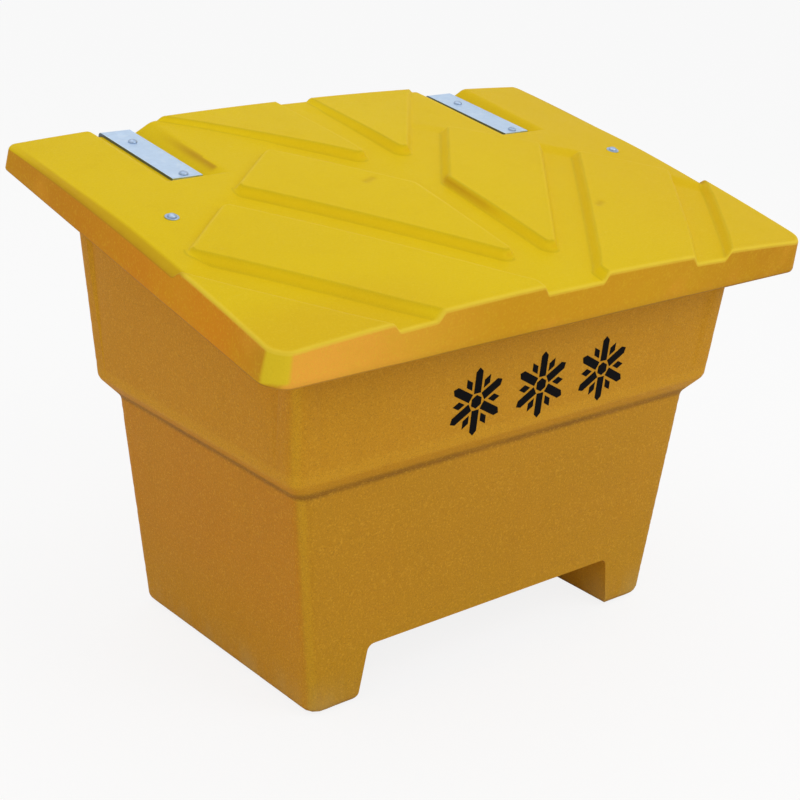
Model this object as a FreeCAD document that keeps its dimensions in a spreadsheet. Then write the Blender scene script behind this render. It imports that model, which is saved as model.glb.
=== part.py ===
import FreeCAD
import Part
import Sketcher
import math
import os
import re

doc = FreeCAD.newDocument("grit_salt_bin")
sheet = doc.addObject("Spreadsheet::Sheet", "Sizes")

# Millimetres and degrees. X runs along the front, Y towards the back and Z up, from the middle of the
# tub's footprint. The lid has a frame of its own: along its slope, across it and square to its rim.
sizes = {
    # tub
    "tub_wall": 6,
    "foot_length": 788,
    "foot_depth": 520,
    "side_spread": 50.5,
    "end_spread": 15,
    "ledge_height": 423,
    "side_step": 30.5,
    "end_step": 25.5,
    "step_rise": 34,
    "band_draft": 4.4,
    "tub_corner": 45,
    "foot_edge": 22,
    "band_edge": 20,
    "ledge_edge": 12,
    "foot_width": 88,
    "fork_lean": 17,
    "fork_height": 109,
    "fork_corner": 14,
    "side_flange": 90,
    "end_flange": 74.5,
    "flange_corner": 50,
    "flange_wall": 6,
    "flange_lip": 16,
    "flange_top": 18,
    # lid
    "side_margin": 35,
    "end_margin": 32,
    "lid_wall": 5,
    "lid_corner": 33,
    "lid_tilt": 11.2,
    "lid_middle_back": -1.2,
    "lid_rise": 293,
    "skirt_draft": 4,
    "dome_height": 88,
    "dome_side_drop": 20,
    "dome_end_drop": 18,
    "panel_step": 15,
    "panel_corner": 15,
    "channel_angle": 50.5,
    "channel_pitch": 255,
    "channel_width": 67,
    "first_channel": 4.5,
    "centre_channel": 72,
    "front_notch": 136,
    "panel_end": 280,
    "lid_edge": 9,
    # seats of the hinge straps in the lid
    "seat_inner_half": 38,
    "seat_outer_half": 37,
    "seat_length": 240,
    "seat_back_height": 37,
    "seat_tilt": 3.8,
    "seat_rise": 14,
    "seat_inner_slope": 37,
    "seat_outer_slope": 24,
    "seat_front_slope": 20,
    # hinges
    "hinge_inset": 219,
    "hinge_width": 60,
    "strap_thickness": 5,
    "strap_gap": 2.5,
    "strap_bend": 2,
    "strap_front_gap": 2,
    "strap_knuckle": 24,
    "knuckle_gap": 0.5,
    "pin_radius": 5,
    "pin_clearance": 0.05,
    "pin_drop": 14,
    "pin_overhang": 4,
    "pin_head_radius": 8,
    "leaf_thickness": 5,
    "leaf_bolt_drop": 78.6,
    "leaf_end": 40,
    "leaf_bolt_spacing": 38,
    "backing_height": 76,
    "backing_thickness": 3,
    "backing_gap": 0.3,
    # fasteners
    "bolt_radius": 4,
    "hole_clearance": 0.3,
    "bolt_head_radius": 10,
    "bolt_head_height": 4.5,
    "bolt_end": 4,
    "washer_radius": 12,
    "washer_thickness": 2,
    "nut_radius": 7.5,
    "nut_height": 8,
    "strap_back_bolt": 60,
    "strap_front_bolt": 15,
    "rest_margin": 29,
    "rest_back": 24,
    "rest_face": 0.7,
    "buffer_radius": 20,
    "buffer_web": 12,
    "buffer_gap": 0.3,
    "buffer_bed": 0.15,
}

# Each level of the tub carries the next, the flange carries the lid, and the lid carries the hinges.
derived = {
    "ledge_length": "foot_length + 2 * side_spread",
    "ledge_depth": "foot_depth + 2 * end_spread",
    "band_length": "ledge_length + 2 * side_step",
    "band_depth": "ledge_depth + 2 * end_step",
    "band_height": "ledge_height + step_rise",
    "fork_floor_width": "foot_length - 2 * foot_width",
    "fork_top_width": "fork_floor_width - 2 * fork_lean",
    "flange_length": "band_length + 2 * side_flange",
    "flange_depth": "band_depth + 2 * end_flange",
    "lid_length": "flange_length + 2 * side_margin",
    "lid_depth": "flange_depth + 2 * end_margin",
    "lid_middle_height": "band_height + lid_rise",
    "hinge_centre": "lid_length / 2 - hinge_inset",
    "seat_inner": "hinge_centre - seat_inner_half",
    "seat_outer": "hinge_centre + seat_outer_half",
    "seat_front": "lid_depth / 2 - seat_length",
    "leaf_bolt_height": "lid_middle_height + lid_depth / 2 * tan(lid_tilt * 1deg) - leaf_bolt_drop",
    "leaf_bottom_height": "leaf_bolt_height - leaf_end",
    "rest_side": "band_length / 2 + rest_margin",
}

for row, (name, content) in enumerate({**sizes, **derived}.items(), start=1):
    sheet.set(f"A{row}", name.replace("_", " "))
    sheet.set(f"B{row}", f"={content}" if name in derived else str(content))
    sheet.setAlias(f"B{row}", name)
doc.recompute()

names = sorted({**sizes, **derived}, key=len, reverse=True)
alias_pattern = re.compile(r"\b(" + "|".join(names) + r")\b")

TILT = "(lid_tilt * 1 deg)"
DRAFT = "(band_draft * 1 deg)"
CROSS = "(channel_angle * 1 deg)"
SIDE_RADIUS = "(((lid_length / 2)^2 + dome_side_drop^2) / (2 * dome_side_drop))"
END_RADIUS = "(((lid_depth / 2)^2 + dome_end_drop^2) / (2 * dome_end_drop))"


def bound(text):
    """Expression text with each size read from the sheet."""
    return alias_pattern.sub(r"Sizes.\1", str(text))


def value(name):
    return float(sheet.get(name))


def bind(thing, **expressions):
    for key, text in expressions.items():
        thing.setExpression(key.replace("__", "."), bound(text))


def plane_of(body, role):
    for feature in body.Origin.OriginFeatures:
        if feature.Role == role:
            return feature


def new_body(name):
    return doc.addObject("PartDesign::Body", name)


def new_sketch(body, name, role="XY_Plane", shift_x=0, shift_y=0, lift=0):
    """A sketch on one of the body's own planes, shifted in it and lifted off it."""
    sketch = body.newObject("Sketcher::SketchObject", name)
    sketch.AttachmentSupport = [(plane_of(body, role), "")]
    sketch.MapMode = "FlatFace"
    sketch.setExpression("AttachmentOffset.Base.x", bound(shift_x))
    sketch.setExpression("AttachmentOffset.Base.y", bound(shift_y))
    sketch.setExpression("AttachmentOffset.Base.z", bound(lift))
    return sketch


def polygon(sketch, corners):
    """A closed outline whose corners are each bound to two expressions."""
    count = len(corners)
    reach = value("foot_length") / 8
    ring = [FreeCAD.Vector(reach * math.cos(2 * math.pi * index / count),
                           reach * math.sin(2 * math.pi * index / count), 0) for index in range(count)]
    for index, start in enumerate(ring):
        sketch.addGeometry(Part.LineSegment(start, ring[(index + 1) % count]))
    for index in range(count):
        sketch.addConstraint(Sketcher.Constraint("Coincident", index, 2, (index + 1) % count, 1))
    for index, (across, along) in enumerate(corners):
        for kind, text in (("DistanceX", across), ("DistanceY", along)):
            number = sketch.addConstraint(Sketcher.Constraint(kind, -1, 1, index, 1, 1.0))
            sketch.setExpression(f"Constraints[{number}]", bound(text))


def rounded_rectangle(sketch, length, depth, corner):
    """A centred rectangle with round corners."""
    half_x, half_y, radius = value("foot_length") / 4, value("foot_length") / 8, value("tub_corner") / 2
    middles = [(half_x - radius, half_y - radius), (radius - half_x, half_y - radius),
               (radius - half_x, radius - half_y), (half_x - radius, radius - half_y)]
    for quarter, (x, y) in enumerate(middles):
        circle = Part.Circle(FreeCAD.Vector(x, y, 0), FreeCAD.Vector(0, 0, 1), radius)
        start = quarter * math.pi / 2
        sketch.addGeometry(Part.ArcOfCircle(circle, start, start + math.pi / 2))
    for quarter in range(4):
        after = (quarter + 1) % 4
        start = sketch.getPoint(quarter, 2)
        end = sketch.getPoint(after, 1)
        sketch.addGeometry(Part.LineSegment(start, end))
    for quarter in range(4):
        after = (quarter + 1) % 4
        sketch.addConstraint(Sketcher.Constraint("Tangent", quarter, 2, 4 + quarter, 1))
        sketch.addConstraint(Sketcher.Constraint("Tangent", 4 + quarter, 2, after, 1))
    for side in (4, 6):
        sketch.addConstraint(Sketcher.Constraint("Horizontal", side))
        sketch.addConstraint(Sketcher.Constraint("Vertical", side + 1))
    for quarter in (1, 2, 3):
        sketch.addConstraint(Sketcher.Constraint("Equal", 0, quarter))
    sketch.addConstraint(Sketcher.Constraint("Symmetric", 4, 1, 6, 1, -1, 1))
    measures = [
        (Sketcher.Constraint("Radius", 0, radius), corner),
        (Sketcher.Constraint("DistanceX", 4, 2, 4, 1, half_x), f"({length}) - 2 * ({corner})"),
        (Sketcher.Constraint("DistanceY", 7, 1, 7, 2, half_y), f"({depth}) - 2 * ({corner})"),
    ]
    for constraint, text in measures:
        number = sketch.addConstraint(constraint)
        sketch.setExpression(f"Constraints[{number}]", bound(text))


def level_sketch(name, lift):
    """A sketch by itself, flat at a height."""
    sketch = doc.addObject("Sketcher::SketchObject", name)
    bind(sketch, Placement__Base__z=lift)
    return sketch


def loft(name, sections):
    """A solid with ruled sides through the sketches, from the first to the last."""
    feature = doc.addObject("Part::Loft", name)
    feature.Sections = sections
    feature.Solid = True
    feature.Ruled = True
    return feature


def pad(body, name, sketch, length, taper="0", both=False):
    feature = body.newObject("PartDesign::Pad", name)
    feature.Profile = sketch
    feature.Midplane = both
    bind(feature, Length=length, TaperAngle=taper)
    return feature


def revolve(body, name, sketch, angle):
    """A solid turned evenly to both sides of the sketch, about its horizontal axis."""
    feature = body.newObject("PartDesign::Revolution", name)
    feature.Profile = sketch
    feature.ReferenceAxis = (sketch, ["H_Axis"])
    feature.Midplane = True
    bind(feature, Angle=angle)
    return feature


def level_edge(height, margin=0.01):
    """A test for edges that lie flat at one height."""
    return lambda edge: (abs(edge.BoundBox.ZMin - height) < margin
                         and abs(edge.BoundBox.ZMax - height) < margin)


def rounded(name, base, test, radius):
    """Rounds those edges of an object that pass the test, by a size of the sheet."""
    doc.recompute()
    feature = doc.addObject("Part::Fillet", name)
    feature.Base = base
    feature.Edges = [(index, radius, radius) for index, edge in enumerate(base.Shape.Edges, start=1)
                     if test(edge)]
    return feature


def combine(kind, name, base, tool):
    feature = doc.addObject(f"Part::{kind}", name)
    feature.Base = base
    feature.Tool = tool
    return feature


def cut(name, base, tool):
    return combine("Cut", name, base, tool)


def common(name, base, tool):
    return combine("Common", name, base, tool)


def fuse(name, shapes):
    feature = doc.addObject("Part::MultiFuse", name)
    feature.Shapes = shapes
    return feature


class Frame:
    """A place in the YZ plane: turned about X by an angle, with its origin at (back, height)."""

    def __init__(self, angle="0", back="0", height="0"):
        self.angle, self.back, self.height = angle, back, height

    def inner(self, angle, back, height):
        """A frame given inside this one."""
        turn = f"(({self.angle}) * 1 deg)"
        y = f"({self.back}) + ({back}) * cos({turn}) - ({height}) * sin({turn})"
        z = f"({self.height}) + ({back}) * sin({turn}) + ({height}) * cos({turn})"
        return Frame(f"({self.angle}) + ({angle})", y, z)

    def hold(self, thing, across="0"):
        """Places an object in this frame."""
        thing.Placement = FreeCAD.Placement(FreeCAD.Vector(), FreeCAD.Rotation(FreeCAD.Vector(1, 0, 0), 10))
        bind(thing, Placement__Rotation__Angle=self.angle, Placement__Base__x=across,
             Placement__Base__y=self.back, Placement__Base__z=self.height)


world_frame = Frame()
lid_frame = Frame("lid_tilt", "lid_middle_back", "lid_middle_height")
seat_in_lid = Frame("-seat_tilt", "lid_depth / 2", "seat_back_height")
strap_frame = lid_frame.inner("-seat_tilt", "lid_depth / 2", "seat_back_height")
WALL_AT_BOLTS = f"band_depth / 2 + (leaf_bolt_height - band_height) * tan({DRAFT})"
wall_frame = Frame("-90 - band_draft", WALL_AT_BOLTS, "leaf_bolt_height")
sub_parts = []


def keep(name, thing, frame=None):
    """Names a finished sub-part and puts it in its frame."""
    thing.Label = name
    if frame:
        frame.hold(thing)
    sub_parts.append(thing)
    return thing


def tub_form(name, inset):
    """The tub as one solid: a loft through four outlines, each smaller by the inset."""
    top = "lid_middle_height + lid_depth / 2"
    growth = f"2 * ({top} - band_height) * tan({DRAFT})"
    levels = [
        ("foot", "foot_length", "foot_depth", inset),
        ("ledge", "ledge_length", "ledge_depth", f"ledge_height + {inset} / 2"),
        ("band", "band_length", "band_depth", f"band_height + {inset} / 2"),
        ("top", f"band_length + {growth}", f"band_depth + {growth}", top),
    ]
    sections = []
    for level, length, depth, height in levels:
        section = level_sketch(f"{name}_{level}", height)
        rounded_rectangle(section, f"{length} - 2 * {inset}", f"{depth} - 2 * {inset}",
                          f"tub_corner - {inset}")
        sections.append(section)
    form = loft(f"{name}_loft", sections)
    shift = value("tub_wall") if inset != "0" else 0
    under_band = rounded(f"{name}_band_edge", form, level_edge(value("band_height") + shift / 2),
                         value("band_edge") - shift)
    return rounded(f"{name}_ledge_edge", under_band, level_edge(value("ledge_height") + shift / 2),
                   value("ledge_edge") + shift)


def fork_channel(name, grow):
    """The arch between the runner feet, open at the front and the back."""
    body = new_body(name)
    section = new_sketch(body, f"{name}_section", "XZ_Plane")
    slope = "(fork_floor_width - fork_top_width) / 2 / fork_height"
    below = "fork_corner * 2"
    polygon(section, [
        (f"-fork_floor_width / 2 - {grow} - {slope} * {below}", f"-{below}"),
        (f"fork_floor_width / 2 + {grow} + {slope} * {below}", f"-{below}"),
        (f"fork_top_width / 2 + {grow}", f"fork_height + {grow}"),
        (f"-fork_top_width / 2 - {grow}", f"fork_height + {grow}"),
    ])
    pad(body, f"{name}_bar", section, "band_depth * 2", both=True)
    shift = value("tub_wall") if grow != "0" else 0
    flat = level_edge(value("fork_height") + shift)
    return rounded(f"{name}_corners", body,
                   lambda edge: flat(edge) and edge.BoundBox.YLength > value("band_depth"),
                   value("fork_corner") + shift)


def rim_plate(name, length, depth, corner, lift, height):
    """A plate with round corners, square to the lid's frame."""
    body = new_body(name)
    outline = new_sketch(body, f"{name}_outline", lift=lift)
    rounded_rectangle(outline, length, depth, corner)
    pad(body, f"{name}_pad", outline, height)
    lid_frame.hold(body)
    return body


def make_tub():
    """A thin shell with a sloping rim, a flange round it and hollow runner feet."""
    sky = rim_plate("sky", "lid_length * 2", "lid_depth * 2", "lid_corner", "flange_top", "lid_depth")
    trimmed = cut("tub_trimmed", tub_form("tub_outer", "0"), sky)
    arched = cut("tub_arched", trimmed, fork_channel("fork_outer", "0"))
    feet = rounded("tub_feet", arched, level_edge(0), value("foot_edge"))
    flange = rim_plate("flange", "flange_length", "flange_depth", "flange_corner",
                       "flange_top - flange_lip", "flange_lip")
    under_flange = rim_plate("under_flange", "flange_length - 2 * flange_wall",
                             "flange_depth - 2 * flange_wall", "flange_corner - flange_wall",
                             "flange_top - flange_lip", "flange_lip - flange_wall")
    outside = fuse("tub_outside", [feet, cut("flange_ring", flange, under_flange)])
    cavity = cut("tub_cavity", tub_form("tub_inner", "tub_wall"), fork_channel("fork_inner", "tub_wall"))
    softened = rounded("tub_cavity_feet", cavity, level_edge(value("tub_wall")),
                       value("foot_edge") - value("tub_wall"))
    return cut("tub_shell", outside, softened)


def lid_outline(name, inset):
    """The lid's block inside its skirt, which leans in towards the top."""
    body = new_body(name)
    rim = new_sketch(body, f"{name}_rim")
    rounded_rectangle(rim, f"lid_length - 2 * {inset}", f"lid_depth - 2 * {inset}",
                      f"lid_corner - {inset}")
    block = pad(body, f"{name}_pad", rim, "dome_height * 1.2")
    doc.recompute()
    draft = body.newObject("PartDesign::Draft", f"{name}_draft")
    sides = [f"Face{index}" for index, face in enumerate(block.Shape.Faces, start=1)
             if face.BoundBox.ZLength > value("dome_height")]
    draft.Base = (block, sides)
    draft.NeutralPlane = (plane_of(body, "XY_Plane"), [""])
    bind(draft, Angle="skirt_draft")
    return body


def dome(name, drop):
    """A block under a shallow dome: an arc along the depth, turned about a far axis along Y."""
    body = new_body(name)
    half_length, side_drop = value("lid_length") / 2, value("dome_side_drop")
    half_depth, end_drop = value("lid_depth") / 2, value("dome_end_drop")
    side = (half_length ** 2 + side_drop ** 2) / (2 * side_drop)
    end = (half_depth ** 2 + end_drop ** 2) / (2 * end_drop)
    reach = half_depth * 1.2
    section = new_sketch(body, f"{name}_section", "YZ_Plane", shift_y=f"dome_height - {SIDE_RADIUS}")
    crown = FreeCAD.Vector(0, side, 0)
    shoulders = [FreeCAD.Vector(sign * reach, side - end + math.sqrt(end ** 2 - reach ** 2), 0)
                 for sign in (1, -1)]
    section.addGeometry(Part.Arc(shoulders[0], crown, shoulders[1]))
    base = side - value("dome_height") * 1.5
    ring = [shoulders[1], FreeCAD.Vector(-reach, base, 0), FreeCAD.Vector(reach, base, 0), shoulders[0]]
    for start, finish in zip(ring, ring[1:]):
        section.addGeometry(Part.LineSegment(start, finish))
    for first, second in ((0, 1), (1, 2), (2, 3)):
        section.addConstraint(Sketcher.Constraint("Coincident", first, 2, second, 1))
    section.addConstraint(Sketcher.Constraint("Coincident", 3, 2, 0, 1))
    section.addConstraint(Sketcher.Constraint("PointOnObject", 0, 3, -2))
    for line in (1, 3):
        section.addConstraint(Sketcher.Constraint("Vertical", line))
    section.addConstraint(Sketcher.Constraint("Symmetric", 2, 1, 2, 2, -2))
    measures = [
        (Sketcher.Constraint("Radius", 0, end), f"{END_RADIUS} - {drop}"),
        (Sketcher.Constraint("DistanceY", -1, 1, 0, 3, side - end), f"{SIDE_RADIUS} - {END_RADIUS}"),
        (Sketcher.Constraint("DistanceX", 2, 1, 2, 2, 2 * reach), "lid_depth * 1.2"),
        (Sketcher.Constraint("DistanceY", -1, 1, 2, 1, base), f"{SIDE_RADIUS} - dome_height * 1.5"),
    ]
    for constraint, text in measures:
        number = section.addConstraint(constraint)
        section.setExpression(f"Constraints[{number}]", bound(text))
    revolve(body, f"{name}_turn", section, f"2 * asin(0.6 * lid_length / {SIDE_RADIUS})")
    return body


def panel_corners(inset):
    """The raised panels right of the middle, as outlines between the channels."""
    sine, cosine = f"sin({CROSS})", f"cos({CROSS})"
    far = "lid_depth * 0.6"
    outside = "lid_length * 0.6"
    middle = f"(centre_channel / 2 + {inset})"
    notch = f"(front_notch / 2 + {inset})"
    end = f"(panel_end - {inset})"

    def wall(channel, side):
        """How far a channel's wall lies from the middle, square to the channels."""
        shift = f"+ channel_width / 2 + {inset}" if side > 0 else f"- channel_width / 2 - {inset}"
        return f"(first_channel + {channel} * channel_pitch {shift})"

    def on_end(line):
        return (f"{line} * {sine} + {end} * {cosine}", f"{end} * {sine} - {line} * {cosine}")

    def at_side(line, across):
        return (across, f"({across} * {sine} - {line}) / {cosine}")

    def at_depth(line, along):
        return (f"({line} + {along} * {cosine}) / {sine}", along)

    before, after, third, fourth, fifth, last = [wall(channel, side) for channel in range(3)
                                                 for side in (-1, 1)]
    return {
        "back": [at_side(before, middle), (middle, far), at_depth(before, far)],
        "middle": [at_side(after, middle), at_side(third, middle), on_end(third), on_end(after)],
        "front": [on_end(fourth), at_side(fourth, notch), (notch, f"-{far}"),
                  at_depth(fifth, f"(-{far})"), on_end(fifth)],
        "corner": [at_side(last, outside), at_depth(last, f"(-{far})"), (outside, f"-{far}")],
    }


def mirrored(name, thing):
    feature = doc.addObject("Part::Mirroring", name)
    feature.Source = thing
    feature.Normal = FreeCAD.Vector(1, 0, 0)
    return feature


def panels(name, inset):
    """All raised panels as upright blocks, with round corners on the outside."""
    blocks = []
    for place, corners in panel_corners(inset).items():
        body = new_body(f"{name}_{place}")
        outline = new_sketch(body, f"{name}_{place}_outline")
        polygon(outline, corners)
        pad(body, f"{name}_{place}_pad", outline, "dome_height * 1.2")
        block = body
        if inset == "0":
            block = rounded(f"{name}_{place}_round", body, lambda edge: edge.BoundBox.ZLength > 1,
                            value("panel_corner"))
        blocks += [block, mirrored(f"{name}_{place}_mirror", block)]
    return fuse(name, blocks)


def strap_seats(name, grow):
    """The two sunk seats for the hinge straps, with sloping sides and an open back."""
    behind = "lid_wall * 4"
    sections = []
    for level, height, spread in (("floor", f"-{grow}", "0"), ("top", "seat_rise", "1")):
        section = level_sketch(f"{name}_{level}", height)
        inner = f"seat_inner - {grow} - seat_inner_slope * {spread}"
        outer = f"seat_outer + {grow} + seat_outer_slope * {spread}"
        front = f"seat_front - lid_depth / 2 - {grow} - seat_front_slope * {spread}"
        polygon(section, [(inner, front), (outer, front), (outer, behind), (inner, behind)])
        sections.append(section)
    seat = loft(f"{name}_right", sections)
    seat_in_lid.hold(seat)
    return fuse(name, [seat, mirrored(f"{name}_left", seat)])


def cap(name, inset, drop):
    """The block inside the skirt under one dome, rounded along its top edge on the outside."""
    block = common(f"{name}_block", lid_outline(f"{name}_outline", inset),
                   dome(f"{name}_dome", f"({drop} + {inset})"))
    if inset != "0":
        return block
    return rounded(name, block, lambda edge: edge.BoundBox.ZMin > value("lid_edge"), value("lid_edge"))


def lid_form(name, inset):
    """The lid as one solid: low dome, raised panels and sunk seats inside one outline."""
    raised = common(f"{name}_raised", panels(f"{name}_panels", inset), cap(f"{name}_high", inset, "0"))
    top = fuse(f"{name}_top", [cap(f"{name}_low", inset, "panel_step"), raised])
    return cut(f"{name}_form", top, strap_seats(f"{name}_seats", inset))


def solid_at(kind, name, place, **properties):
    """A primitive at three expressions, with its sizes bound to the sheet."""
    feature = doc.addObject(f"Part::{kind}", name)
    x, y, z = place
    bind(feature, Placement__Base__x=x, Placement__Base__y=y, Placement__Base__z=z, **properties)
    return feature


def stack(name, spots, pieces):
    """The same pieces on an upright axis at each spot: discs, hexagons and low tapered heads."""
    shapes = []
    for spot, (x, y) in enumerate(spots):
        for number, (kind, radius, bottom, height) in enumerate(pieces):
            label = f"{name}_{spot}_{number}"
            if kind == "disc":
                shape = solid_at("Cylinder", label, (x, y, bottom), Radius=radius, Height=height)
            elif kind == "hexagon":
                shape = solid_at("Prism", label, (x, y, bottom), Circumradius=radius, Height=height)
            else:
                shape = solid_at("Cone", label, (x, y, bottom), Radius1=radius, Height=height,
                                 Radius2=f"{radius} * 0.6")
            shapes.append(shape)
    return fuse(name, shapes) if len(shapes) > 1 else shapes[0]


def drilled(name, thing, spots, frame, bottom, height, radius="bolt_radius + hole_clearance"):
    """A thing with a hole through it at each spot."""
    holes = stack(f"{name}_drills", spots, [("disc", radius, bottom, height)])
    if frame:
        frame.hold(holes)
    return cut(name, thing, holes)


def both_sides(*depths):
    return [(f"{sign}hinge_centre", depth) for sign in ("-", "") for depth in depths]


STRAP_SPOTS = both_sides("-strap_back_bolt", "strap_front_bolt - seat_length")
LEAF_SPOTS = both_sides("-leaf_bolt_spacing / 2", "leaf_bolt_spacing / 2")
REST_SPOTS = [(f"{sign}rest_side", "rest_back") for sign in ("-", "")]
REST_TOP = (f"(dome_height - {SIDE_RADIUS} + sqrt(({SIDE_RADIUS} - {END_RADIUS}"
            f" + sqrt(({END_RADIUS} - panel_step)^2 - rest_back^2))^2 - rest_side^2))")
EYE_RADIUS = "(pin_radius + pin_clearance + strap_thickness)"
SKIRT_LEAN = "tan(skirt_draft * 1 deg)"
STRAP_FOOT = f"(lid_depth / 2 + strap_gap + pin_drop * {SKIRT_LEAN} + strap_thickness)"
PIN_BACK = f"({STRAP_FOOT} - {EYE_RADIUS})"


def make_lid():
    """A thin shell: the outer form less the inner one, with holes for the bolts and the rests."""
    form = cut("lid_shell", lid_form("lid_outer", "0"), lid_form("lid_inner", "lid_wall"))
    strapped = drilled("lid_strap_holes", form, STRAP_SPOTS, seat_in_lid, "-lid_wall * 3", "lid_wall * 6")
    faced = drilled("lid_rest_faces", strapped, REST_SPOTS, None, f"{REST_TOP} - rest_face", "lid_wall",
                    "washer_radius + hole_clearance")
    return drilled("lid_rest_holes", faced, REST_SPOTS, None, "0", "dome_height * 1.2")


def cross_bar(name, frame, radius, start, length, back=PIN_BACK, height="-pin_drop"):
    """A round bar across the hinge, about the pin's axis."""
    bar = doc.addObject("Part::Cylinder", name)
    spot = frame.inner("0", back, height)
    bar.Placement = FreeCAD.Placement(FreeCAD.Vector(), FreeCAD.Rotation(FreeCAD.Vector(0, 1, 0), 90))
    bind(bar, Radius=radius, Height=length, Placement__Base__x=start, Placement__Base__y=spot.back,
         Placement__Base__z=spot.height)
    return bar


def block(name, frame, start, size):
    """A box in a frame, from its lowest corner."""
    feature = doc.addObject("Part::Box", name)
    spot = frame.inner("0", start[1], start[2])
    spot.hold(feature, start[0])
    bind(feature, Length=size[0], Width=size[1], Height=size[2])
    return feature


def make_strap():
    """A flat bar on the lid, bent down over its back edge to an eye round the pin."""
    def floor(back):
        return f"(seat_back_height + (lid_depth / 2 - ({back})) * tan(seat_tilt * 1 deg))"

    front = "(seat_front + strap_front_gap)"
    bend = f"(lid_depth / 2 + strap_gap - seat_back_height * {SKIRT_LEAN})"
    outer_bend = f"({bend} + strap_thickness)"
    body = new_body("strap_bar")
    profile = new_sketch(body, "strap_profile", "YZ_Plane", lift="hinge_centre")
    polygon(profile, [
        (front, floor(front)), (bend, floor(bend)), (f"{STRAP_FOOT} - strap_thickness", "-pin_drop"),
        (STRAP_FOOT, "-pin_drop"), (outer_bend, f"{floor(outer_bend)} + strap_thickness"),
        (front, f"{floor(front)} + strap_thickness"),
    ])
    pad(body, "strap_pad", profile, "hinge_width", both=True)
    doc.recompute()
    corner_height = value("seat_back_height") * 0.9

    def at_bend(shift):
        return lambda edge: (edge.BoundBox.XLength > 1 and edge.BoundBox.YLength < 0.01
                             and edge.BoundBox.ZMin > corner_height
                             and edge.BoundBox.YMin > value("lid_depth") / 2 - 4
                             and (edge.BoundBox.ZMin > corner_height + value("strap_thickness")) == shift)
    inside = rounded("strap_inner_bend", body, at_bend(False), value("strap_bend"))
    outside = rounded("strap_outer_bend", inside, at_bend(True),
                      value("strap_bend") + value("strap_thickness"))
    edge = "(hinge_centre - hinge_width / 2)"
    eye = cross_bar("strap_eye", world_frame, EYE_RADIUS, edge, "hinge_width")
    bore = cross_bar("strap_bore", world_frame, "pin_radius + pin_clearance", edge, "hinge_width")
    low = f"-pin_drop - {EYE_RADIUS} - knuckle_gap"
    tall = f"2 * ({EYE_RADIUS} + knuckle_gap)"
    deep = f"4 * {EYE_RADIUS}"
    side = "(hinge_width - strap_knuckle) / 2"
    sides = [block(f"strap_side_{index}", world_frame, (start, f"{PIN_BACK} - {deep} / 2", low),
                   (side, deep, tall))
             for index, start in enumerate((edge, "hinge_centre + strap_knuckle / 2"))]
    bar = cut("strap_knuckle", fuse("strap_with_eye", [outside, eye]), fuse("strap_sides", [bore] + sides))
    spots = [spot for spot in STRAP_SPOTS if not spot[0].startswith("-")]
    return drilled("strap_drilled", bar, spots, seat_in_lid, "-strap_thickness", "strap_thickness * 3")


def make_leaf():
    """A plate on the tub's back wall, bent out to two eyes round the pin."""
    lean = f"tan({DRAFT})"
    slope = f"tan({TILT})"
    under = f"(-pin_drop - {EYE_RADIUS})"

    def on_wall(out, level):
        """Where a line square to the rim meets the wall's face, moved out."""
        start = f"(band_depth / 2 + {out})"
        line = f"(lid_middle_height - lid_middle_back * {slope} + ({level}) / cos({TILT}))"
        y = f"(({start} + ({line} - band_height) * {lean}) / (1 - {slope} * {lean}))"
        return (y, f"({line} + {y} * {slope})")

    def foot(out):
        return (f"band_depth / 2 + (leaf_bottom_height - band_height) * {lean} + {out}",
                "leaf_bottom_height")

    def at_pin(level):
        spot = lid_frame.inner("0", PIN_BACK, level)
        return (spot.back, spot.height)

    upper = f"{under} + leaf_thickness"
    body = new_body("leaf_bar")
    profile = new_sketch(body, "leaf_profile", "YZ_Plane", lift="hinge_centre")
    polygon(profile, [foot("0"), foot("leaf_thickness"), on_wall("leaf_thickness", under), at_pin(under),
                      at_pin(upper), on_wall("0", upper)])
    pad(body, "leaf_pad", profile, "hinge_width", both=True)
    edge = "(hinge_centre - hinge_width / 2)"
    eye = cross_bar("leaf_eye", lid_frame, EYE_RADIUS, edge, "hinge_width")
    bore = cross_bar("leaf_bore", lid_frame, "pin_radius + pin_clearance", edge, "hinge_width")
    room = f"({EYE_RADIUS} + knuckle_gap * 2)"
    gap = block("leaf_gap", lid_frame,
                ("hinge_centre - strap_knuckle / 2 - knuckle_gap", f"{PIN_BACK} - {room}",
                 f"-pin_drop - {room}"),
                ("strap_knuckle + 2 * knuckle_gap", f"{room} * 2", f"{room} * 2"))
    bar = cut("leaf_knuckle", fuse("leaf_with_eye", [body, eye]), fuse("leaf_cuts", [bore, gap]))
    spots = [spot for spot in LEAF_SPOTS if not spot[0].startswith("-")]
    return drilled("leaf_drilled", bar, spots, wall_frame, "-leaf_thickness", "leaf_thickness * 3")


def make_pin():
    """A pin through both leaves, with a head at its outer end."""
    start = "hinge_centre - hinge_width / 2 - pin_overhang"
    shank = cross_bar("pin_shank", lid_frame, "pin_radius", start, "hinge_width + 2 * pin_overhang")
    head = cross_bar("pin_head", lid_frame, "pin_head_radius",
                     "hinge_centre + hinge_width / 2 + knuckle_gap", "pin_overhang")
    return fuse("pin_with_head", [shank, head])


def pair(name, thing, frame=None):
    """A right-hand sub-part and its mirror image on the left."""
    right = keep(f"{name}_right", thing, frame)
    keep(f"{name}_left", mirrored(f"{name}_mirror", right))


def rings(name, spots, levels):
    """Flat washers at the given levels."""
    discs = stack(f"{name}_discs", spots, [("disc", "washer_radius", level, "washer_thickness")
                                           for level in levels])
    holes = stack(f"{name}_bores", spots, [("disc", "bolt_radius + hole_clearance", f"{level} - 1",
                                            "washer_thickness + 2") for level in levels])
    return cut(name, discs, holes)


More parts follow.
